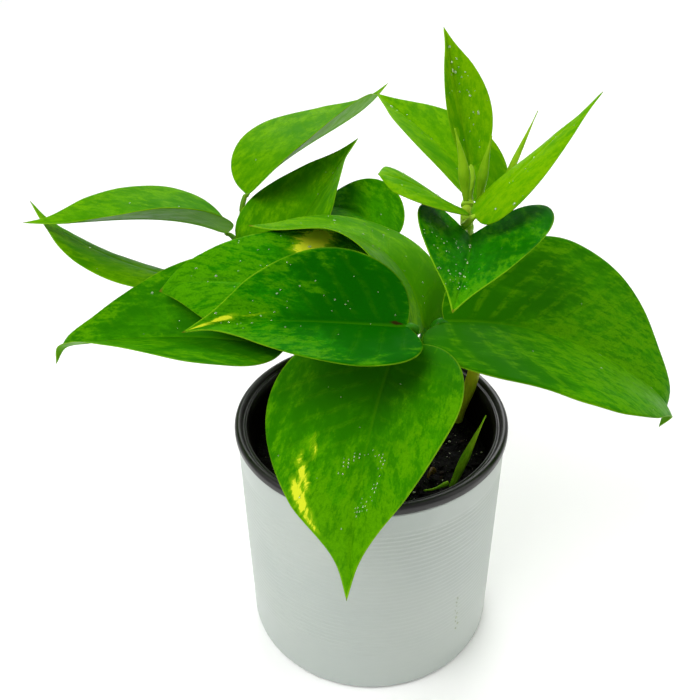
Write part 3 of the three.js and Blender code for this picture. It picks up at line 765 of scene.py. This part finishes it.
def cover_pot(material):
    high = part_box("cover_pot")[1]
    top = high.z
    outer = high.x
    foot = outer - POT_TAPER
    wall, floor, round_foot, lip = COVER_WALL, COVER_FLOOR, COVER_FOOT, COVER_LIP
    ribs_to = top - RIBS_BELOW_TOP
    rise = 0.3 * MM
    levels = np.arange(round_foot + rise, top - lip, rise)
    outside = [(foot + (outer - foot) * (z - round_foot) / (top - round_foot), z) for z in levels]
    inside_top = (outer - wall + lip, top - lip)
    profile = [(AXIS, 0.0), (foot - round_foot - 2 * MM, 0.0)]
    profile += arc((foot - round_foot, round_foot), round_foot, -90, 0, 8)
    profile += outside
    profile += arc((outer - lip, top - lip), lip, 0, 90, 5)
    profile += arc(inside_top, lip, 90, 180, 5)
    profile += [(foot - wall, floor + round_foot)]
    profile += arc((foot - wall - round_foot, floor + round_foot), round_foot, 0, -90, 6)
    profile += [(AXIS, floor)]

    def ribs(radius, height, turn):
        """Shallow rings that wander a little, as a thrown pot's do, and fade out at both ends."""
        wander = 0.5 * np.sin(turn * 2 + 0.4) + 0.35 * np.sin(turn * 5 + height * 60)
        phase = 2 * math.pi * (height / RIB_PITCH) + wander + 0.8 * np.sin(height * 210)
        wave = np.cos(phase) + 0.25 * np.cos(2 * phase + 1.0)
        fade = smoothstep(RIBS_FROM - 6 * MM, RIBS_FROM + 8 * MM, height)
        fade = fade * (1 - smoothstep(ribs_to - 4 * MM, ribs_to + 2 * MM, height))
        strength = 0.72 + 0.28 * np.sin(turn * 3 + height * 45)
        outward = radius > outer - 1.6 * MM
        return np.where(outward, (wave - 1.2) * 0.5 * RIB_DEPTH * fade * strength, 0.0)

    return lathe("cover_pot_shell", profile, material, "cover_pot", ribs)


def cover_material():
    n = Nodes("white_satin_pot")
    place = n.place()
    x, y, z = n.parts(place)
    haze = n.noise(place, 22, 3)
    rings = n.noise(n.vector(n.times(x, 0.25), n.times(y, 0.25), z), 700, 3)
    base = n.mix(n.ramp(haze, 0.3, 0.75), srgb(174, 183, 177), srgb(180, 188, 181))
    base = n.mix(n.ramp(rings, 0.35, 0.8, 0.0, 0.12), base, srgb(164, 174, 168))
    dust = n.ramp(n.noise(place, 260, 5, 0.7), 0.62, 0.8, 0.0, 0.08)
    base = n.mix(dust, base, srgb(170, 172, 160))
    # painted shade: darker towards the foot, where the pot meets the floor
    foot = n.ramp(z, 0.0, 7 * MM, 0.16, 0.0)
    base = n.mix(foot, base, srgb(150, 156, 152))
    n.bump(n.add(n.times(rings, 0.6), n.noise(place, 1600, 2)), 0.05 * MM, 0.5)
    return n.finish(base=base, roughness=n.ramp(haze, 0.3, 0.7, 0.34, 0.44), coat=0.15, coat_roughness=0.3)


def nursery_pot(material):
    low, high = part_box("nursery_pot")
    cover_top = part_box("cover_pot")[1].z
    rim, top, bottom = high.x, high.z, low.z
    bead, wall, floor = NURSERY_BEAD, NURSERY_WALL, NURSERY_FLOOR
    seat = cover_top + 0.3 * MM
    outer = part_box("cover_pot")[1].x - COVER_WALL - POT_PLAY
    ledge = top - 2.2 * MM
    mouth = rim - bead - 1.8 * MM
    inner = outer - wall
    base = NURSERY_BASE
    foot_round = 1 * MM
    # outside, from the middle of the foot up to the rim
    profile = [(AXIS, bottom), (base - foot_round, bottom)]
    profile += arc((base - foot_round, bottom + foot_round), foot_round, -80, 0, 3)
    profile += between((base, bottom + foot_round), (outer, cover_top - 2 * MM), 12)
    profile += [(outer, cover_top - 2 * MM), (outer, seat - 0.02 * MM), (outer + 0.3 * MM, seat)]
    # the rim that hangs over the cover pot, and its bead
    profile += [(rim - x * MM, seat + z * MM) for x, z in ((0.7, 0), (0.3, 0.2), (0.05, 0.7), (0, 1.2))]
    profile += arc((rim - bead / 2, top - bead / 2), bead / 2, 0, 165, 12)
    # the ledge inside the bead, with a low ridge at the mouth
    profile += [(rim - bead - x * MM, ledge + z * MM) for x, z in ((0, 0.35), (0.2, 0.08), (0.5, 0))]
    profile += [(mouth + x * MM, ledge + z * MM) for x, z in (
        (0.75, 0), (0.6, 0.22), (0.3, 0.26), (0, 0.05), (-0.1, -0.6), (-0.6, -1.2))]
    # inside, down to the floor
    profile += [(inner, cover_top - 3.2 * MM)]
    profile += between((inner, cover_top - 3.2 * MM), (base - wall, bottom + floor), 14)
    profile += [(base - wall, bottom + floor + 0.4 * MM), (base - wall - 0.5 * MM, bottom + floor)]
    profile += [(AXIS, bottom + floor)]
    pot = lathe("nursery_pot_shell", profile, material, "nursery_pot")
    cutters = []
    for k in range(DRAIN_HOLES):
        angle = 2 * math.pi * k / DRAIN_HOLES
        bpy.ops.mesh.primitive_cylinder_add(
            vertices=32, radius=DRAIN_RADIUS, depth=4 * floor,
            location=(DRAIN_RING * math.cos(angle), DRAIN_RING * math.sin(angle), bottom + floor / 2))
        cutters.append(bpy.context.object)
    for cutter in cutters:
        cut = pot.modifiers.new("hole", "BOOLEAN")
        cut.operation, cut.solver, cut.object = "DIFFERENCE", "EXACT", cutter
    bpy.context.view_layer.objects.active = pot
    bpy.context.view_layer.update()
    shaped = bpy.data.meshes.new_from_object(pot.evaluated_get(bpy.context.evaluated_depsgraph_get()))
    pot.modifiers.clear()
    pot.data = shaped
    for cutter in cutters:
        bpy.data.objects.remove(cutter)
    return pot


def nursery_material():
    n = Nodes("dark_nursery_plastic")
    place = n.place()
    haze = n.noise(place, 60, 4)
    grain = n.noise(place, 1400, 3)
    base = n.mix(n.ramp(haze, 0.35, 0.7), srgb(6, 5, 4), srgb(13, 10, 8))
    dust = n.ramp(n.noise(place, 380, 5, 0.7), 0.55, 0.8, 0.0, 0.35)
    base = n.mix(dust, base, srgb(36, 30, 24))
    n.bump(grain, 0.05 * MM, 0.5)
    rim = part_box("nursery_pot")[1].z
    gloss = n.ramp(n.parts(place)[2], rim - 7 * MM, rim - 3 * MM, 0.06, 0.45)
    return n.finish(base=base, roughness=n.ramp(haze, 0.3, 0.7, 0.28, 0.42), specular=gloss)


# ---- soil ----

LUMP_RISE = 0.2  # how far a lump's middle stands above the soil, against its size
SOIL_FOOT = 42.4 * MM  # radius of the soil at the bottom of the nursery pot


def ball_of(make, **shape):
    """The points of a ball of radius 1 and its faces, which are sorted so that they always come in the
    same order."""
    base = bmesh.new()
    make(base, radius=1.0, **shape)
    ball = np.array([v.co for v in base.verts])
    faces = sorted([v.index for v in f.verts] for f in base.faces)
    base.free()
    return ball, faces


def scattered_lumps(name, count, spread, sizes, material, seed, squash=0.7):
    """Small irregular grains lying on the soil, as one mesh."""
    rng = random.Random(seed)
    ball, ball_faces = ball_of(bmesh.ops.create_icosphere, subdivisions=2)
    ball_faces = np.array(ball_faces)
    points, faces = [], []
    for k in range(count):
        radius = spread * math.sqrt(rng.random())
        angle = rng.uniform(0, 2 * math.pi)
        size = rng.uniform(*sizes) * (0.6 + 0.8 * rng.random() ** 3)
        stretch = np.array([rng.uniform(0.7, 1.5), rng.uniform(0.7, 1.2), rng.uniform(0.5, 1.0) * squash])
        turn = Matrix.Rotation(rng.uniform(0, 6.28), 3, "Z")
        turn = turn @ Matrix.Rotation(rng.uniform(-0.5, 0.5), 3, "X")
        lumpy = np.array([1 + 0.35 * noise.noise(Vector(p) * 1.3 + Vector((k * 3.7, k, 0))) for p in ball])
        body = (ball * lumpy[:, None] * stretch * size) @ np.array(turn).T
        x, y = radius * math.cos(angle), radius * math.sin(angle)
        z = soil_height(x, y) + size * squash * LUMP_RISE
        points.append(body + [x, y, z])
        faces.append(ball_faces + k * len(ball))
    return add_mesh(name, np.concatenate(points), np.concatenate(faces), material)


def soil_height(x, y):
    """Height of the soil's clods at a place."""
    radius = math.hypot(x, y)
    p = Vector((x, y, 0.0))
    clods = noise.fractal(p * 140, 1.0, 2.1, 4) * 0.9 * MM
    lumps = noise.noise(p * 60) * 0.8 * MM
    mound = soil_top - 3.3 * MM * (radius / soil_edge) ** 2
    return mound + clods + lumps - 1.2 * MM


def build_soil(material):
    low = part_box("soil")[0]
    rings, sides, steps = 90, 220, 10
    angles = [2 * math.pi * k / sides for k in range(sides)]
    around = [(math.cos(angle), math.sin(angle)) for angle in angles]
    points = []
    for r in range(rings):
        radius = soil_edge * (0.004 + 0.996 * (r / (rings - 1)) ** 0.85)
        points += [(radius * x, radius * y, soil_height(radius * x, radius * y)) for x, y in around]
    shoulder = soil_top - 4 * MM
    wall = [(soil_edge - (soil_edge - SOIL_FOOT) * k / steps, low.z + (shoulder - low.z) * (1 - k / steps))
            for k in range(1, steps + 1)]
    for radius, z in wall:
        points += [(radius * x, radius * y, z) for x, y in around]
    faces = [f[::-1] for f in ring_faces(rings + len(wall), sides)]
    faces.append(tuple(range(sides)))
    faces.append(tuple((rings + len(wall) - 1) * sides + i for i in range(sides))[::-1])
    piece = add_mesh("potting_mix", points, faces, material, ["soil"])
    weld_close(piece)
    return piece


def soil_material():
    n = Nodes("damp_potting_mix")
    place = n.place()
    clods = n.noise(place, 420, 6, 0.7)
    bits = n.cells(place, 900)
    base = n.mix(n.ramp(clods, 0.3, 0.7), srgb(2, 2, 1), srgb(11, 8, 5))
    base = n.mix(n.ramp(bits, 0.1, 0.4, 0.35, 0.0), base, srgb(24, 17, 10))
    white = n.ramp(n.cells(place, 420), 0.07, 0.11, 0.6, 0.0)
    base = n.mix(white, base, srgb(150, 140, 126))
    n.bump(n.add(clods, n.times(bits, 0.6)), 0.7 * MM, 0.9)
    return n.finish(base=base, roughness=n.ramp(clods, 0.3, 0.7, 0.6, 0.95), specular=0.08)


def grain_material(name, low, high, rough=0.8):
    n = Nodes(name)
    place = n.place()
    tone = n.noise(place, 700, 4, 0.6)
    n.bump(n.noise(place, 2200, 3), 0.15 * MM, 0.8)
    rough = n.ramp(tone, 0.3, 0.7, rough - 0.1, rough)
    return n.finish(base=n.mix(n.ramp(tone, 0.3, 0.7), low, high), roughness=rough, specular=0.1)


# ---- drops ----


def water_material():
    n = Nodes("water")
    place = n.place()
    n.bump(n.noise(place, 300, 1), 0.02 * MM, 0.2)
    # painted glint: a pale, faintly yellow-green base under part transmission, so the clear drops show as
    # pale spots
    tone = n.ramp(n.noise(place, 90, 1), 0.3, 0.7)
    base = n.mix(tone, (0.86, 1.0, 0.6), (0.95, 1.0, 0.8))
    return n.finish(base=base, roughness=0.05, ior=1.333, transmission=0.75)


RING_DROPS = 70  # on the front leaf, along an arc
RUN_DROPS = 9  # down the cover pot
RUN_TURN = -48  # where the run is, in degrees round the pot
RUN_TOP = 46 * MM
RUN_STEP = 2.6 * MM


def build_drops(blades, material, seed=5):
    """Water drops of many sizes on the leaves' upper faces, an arc of them on the front leaf, and a
    run of them down the pot."""
    rng = random.Random(seed)
    ball, ball_faces = ball_of(bmesh.ops.create_uvsphere, u_segments=14, v_segments=8)
    points, faces = [], []

    def drop(at, size, axes):
        faces.extend([len(points) * len(ball) + i for i in f] for f in ball_faces)
        points.append(at + (ball * size) @ np.array(axes))

    for name, (surface, normal) in blades.items():
        for _ in range(LEAF_LOOKS[name]["drops"]):
            r = int(LEAF_ROWS * (0.12 + 0.78 * rng.betavariate(2.2, 1.4)))
            c = int(round(LEAF_COLUMNS * (1 + rng.gauss(-0.2, 0.4))))
            c = min(max(c, 2), 2 * LEAF_COLUMNS - 2)
            size = rng.uniform(0.14, 0.30) * MM * (1 + 1.4 * rng.random() ** 6)
            up = normal[r, c]
            forward = unit(surface[r + 1, c] - surface[r, c])
            side = np.cross(up, forward)
            drop(surface[r, c] + up * (BLADE_THICKNESS / 2 + 0.1 * size), size,
                 [forward * rng.uniform(0.9, 1.5), side * rng.uniform(0.8, 1.1), up * 0.55])
    surface, normal = blades["front"]
    for _ in range(RING_DROPS):
        turn = rng.uniform(-0.4, 4.6)
        r = int(LEAF_ROWS * (0.70 + 0.09 * math.cos(turn)) + rng.gauss(0, 0.6))
        c = int(LEAF_COLUMNS * (1.08 + 0.26 * math.sin(turn)) + rng.gauss(0, 0.4))
        size = rng.uniform(0.12, 0.3) * MM
        here = surface[r, c]
        drop(here + normal[r, c] * (BLADE_THICKNESS / 2), size,
             [unit(surface[r + 1, c] - here) * 1.6, unit(surface[r, c + 1] - here), normal[r, c] * 0.5])
    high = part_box("cover_pot")[1]
    for k in range(RUN_DROPS):
        turn = math.radians(RUN_TURN + rng.gauss(0, 0.8))
        size = rng.uniform(0.3, 0.6) * MM
        height = RUN_TOP - RUN_STEP * k
        out = np.array([math.cos(turn), math.sin(turn), 0.0])
        radius = high.x - POT_TAPER * (1 - height / high.z)
        drop(out * radius + [0, 0, height], size,
             [out * 0.5, [-out[1], out[0], 0.0], [0.0, 0.0, rng.uniform(1.0, 1.7)]])
    return add_mesh("water_drops", np.concatenate(points), faces, material)


# ---- stage ----


HEADING, PITCH, ROLL = -1.68, -33.80, -0.54  # degrees
EYE = (0, -0.3073, 0.3546)
LENS, SENSOR = 45.26, 36  # mm
# name: place, target, size in metres, power in watts, gloss and colour
LIGHTS = {
    "key": ((-0.40, -0.36, 0.92), (0, 0, 0.12), 0.7, 7.0, 1.0, (1, 1, 1)),
    "fill_right": ((0.9, -0.1, 0.6), (0, 0, 0.1), 0.8, 2.5, 1.0, (1, 0.985, 0.95)),
    "back": ((0.1, 0.9, 0.9), (0, 0, 0.1), 0.8, 4.0, 0.3, (1, 1, 1)),
    "far_floor": ((0, 2.4, 1.5), (0, 1.5, 0), 2.0, 22, 0.0, (1, 1, 1)),
}
FLOOR_HALF = 6.0  # half the floor's side, in metres


def make_camera():
    """Looks down on the plant from the front at 34 degrees, a hair to the right, with a small roll."""
    heading, pitch, roll = math.radians(HEADING), math.radians(PITCH), math.radians(ROLL)
    ahead = math.cos(pitch)
    forward = Vector((math.sin(heading) * ahead, math.cos(heading) * ahead, math.sin(pitch)))
    level = forward.cross(Vector((0, 0, 1))).normalized()
    above = level.cross(forward)
    right = level * math.cos(roll) + above * math.sin(roll)
    up = above * math.cos(roll) - level * math.sin(roll)
    data = bpy.data.cameras.new("camera")
    data.sensor_width = SENSOR
    data.lens = LENS
    camera = bpy.data.objects.new("camera", data)
    bpy.context.scene.collection.objects.link(camera)
    turned = Matrix((right, up, -forward)).transposed().to_4x4()
    camera.matrix_world = Matrix.Translation(EYE) @ turned
    bpy.context.scene.camera = camera


def area_light(name, place, target, size, power, gloss, colour):
    data = bpy.data.lights.new(name, "AREA")
    data.shape = "DISK"
    data.size = size
    data.energy = power
    data.color = colour
    data.specular_factor = gloss
    light = bpy.data.objects.new(name, data)
    light.location = place
    light.rotation_mode = "QUATERNION"
    light.rotation_quaternion = (Vector(target) - Vector(place)).to_track_quat("-Z", "Y")
    bpy.context.scene.collection.objects.link(light)


def make_stage():
    """A pale floor, a world that is dimmer towards the front, and the lights."""
    n = Nodes("pale_floor")
    place = n.place()
    tone = n.noise(place, 3, 3)
    n.bump(n.noise(place, 900, 2), 0.02 * MM, 0.2)
    material = n.finish(base=n.mix(tone, srgb(254, 254, 253), srgb(255, 255, 255)), roughness=0.8)
    mesh = bpy.data.meshes.new("floor")
    corners = [(x * FLOOR_HALF, y * FLOOR_HALF, 0) for x, y in ((-1, -1), (1, -1), (1, 1), (-1, 1))]
    mesh.from_pydata(corners, [], [(0, 1, 2, 3)])
    mesh.materials.append(material)
    floor = bpy.data.objects.new("floor", mesh)
    floor.location.z = -0.1 * MM
    bpy.context.scene.collection.objects.link(floor)

    world = bpy.data.worlds.new("studio")
    world.use_nodes = True
    tree = world.node_tree
    background = tree.nodes["Background"]
    coordinates = tree.nodes.new("ShaderNodeTexCoord")
    split = tree.nodes.new("ShaderNodeSeparateXYZ")
    ramp = tree.nodes.new("ShaderNodeMapRange")
    tree.links.new(coordinates.outputs["Generated"], split.inputs[0])
    tree.links.new(split.outputs[1], ramp.inputs[0])
    for socket, value in zip(ramp.inputs[1:5], (-1.0, 0.4, 0.40, 0.6)):
        socket.default_value = value
    tree.links.new(ramp.outputs[0], background.inputs[1])
    background.inputs[0].default_value = (1, 1, 1, 1)
    bpy.context.scene.world = world
    for name, light in LIGHTS.items():
        area_light(name, *light)
    bpy.context.scene.view_settings.view_transform = "Standard"
    bpy.context.scene.view_settings.look = "None"


# ---- putting it together ----

make_camera()
make_stage()

soil_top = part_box("soil")[1].z
soil_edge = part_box("soil")[1].x

cover_pot(cover_material())
nursery_pot(nursery_material())
build_soil(soil_material())
scattered_lumps("perlite", 120, soil_edge * 0.97, (0.22 * MM, 0.6 * MM),
                grain_material("perlite", srgb(150, 146, 132), srgb(190, 186, 172)), 11)
scattered_lumps("soil_crumbs", 420, soil_edge * 0.98, (0.5 * MM, 1.7 * MM),
                grain_material("dark_crumbs", srgb(3, 3, 2), srgb(16, 12, 8), 0.9), 12)
scattered_lumps("bark_bits", 60, soil_edge * 0.95, (0.8 * MM, 2.2 * MM),
                grain_material("bark", srgb(22, 16, 10), srgb(50, 36, 22), 0.85), 13, squash=0.35)

blades = {}
for number, (name, looks) in enumerate(LEAF_LOOKS.items()):
    paint = leaf_material(name, looks["shade"], looks["veins"], number * 1.7 + 0.4,
                          BROWN_TIPS.get(name, BROWN_TIP))
    blades[name] = build_leaf(name, looks, paint, number * 2.3)

vine_paint = stem_material("vine", srgb(168, 174, 20), srgb(138, 158, 14), srgb(182, 178, 44))
old_stalk_paint = stem_material("old_petiole", srgb(24, 106, 3), srgb(50, 124, 8), srgb(76, 134, 18))
stalk_paint = stem_material("petiole", srgb(74, 128, 12), srgb(106, 146, 22), srgb(136, 160, 44))
stalks = [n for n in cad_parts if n.startswith("petiole_")]
vines = {v: cad_path("vine_" + v)[0] for v in ("right", "middle", "left")}
fine_vines = {v: spline(c, np.linspace(0, len(c) - 1, 200)) for v, c in vines.items()}
joints = {v: [] for v in vines}
for node in sorted(stalks):
    name = node.replace("petiole_", "")
    ends = cad_path(node)[0][[0, -1]]
    _, vine, end = min((np.linalg.norm(c - e, axis=1).min(), v, i)
                       for v, c in fine_vines.items() for i, e in enumerate(ends))
    joints[vine].append(ends[end])
    paint = old_stalk_paint if name in OLD_STALKS else stalk_paint
    build_petiole(name, paint, blades[name][0], fine_vines[vine])
for v in vines:
    build_vine(v, vine_paint, joints[v])

shoot_paint = shoot_material("young_leaf", srgb(112, 164, 10), srgb(142, 186, 26))
for node, turns in ROLLED.items():
    build_spear(node, shoot_paint, turns)

lay = np.array([0, 0, soil_top])
stub = np.array([(33, -25, -1.5), (30, -27.5, -1.0), (26, -30, -0.6), (22.5, -31.5, 0.2)]) * MM + lay
husk = np.array([(27, -18, -1.2), (26.5, -19, 0.8), (25.5, -21.5, 1.4), (24.5, -24, 0.3)]) * MM + lay
build_scrap("green_stub", stub, (1.1 * MM, 0.25 * MM), shoot_paint)
husk_paint = stem_material("husk", srgb(92, 70, 22), srgb(70, 52, 20), srgb(120, 98, 40))
build_scrap("old_husk", husk, (1.5 * MM, 0.5 * MM), husk_paint)
build_drops(blades, water_material())
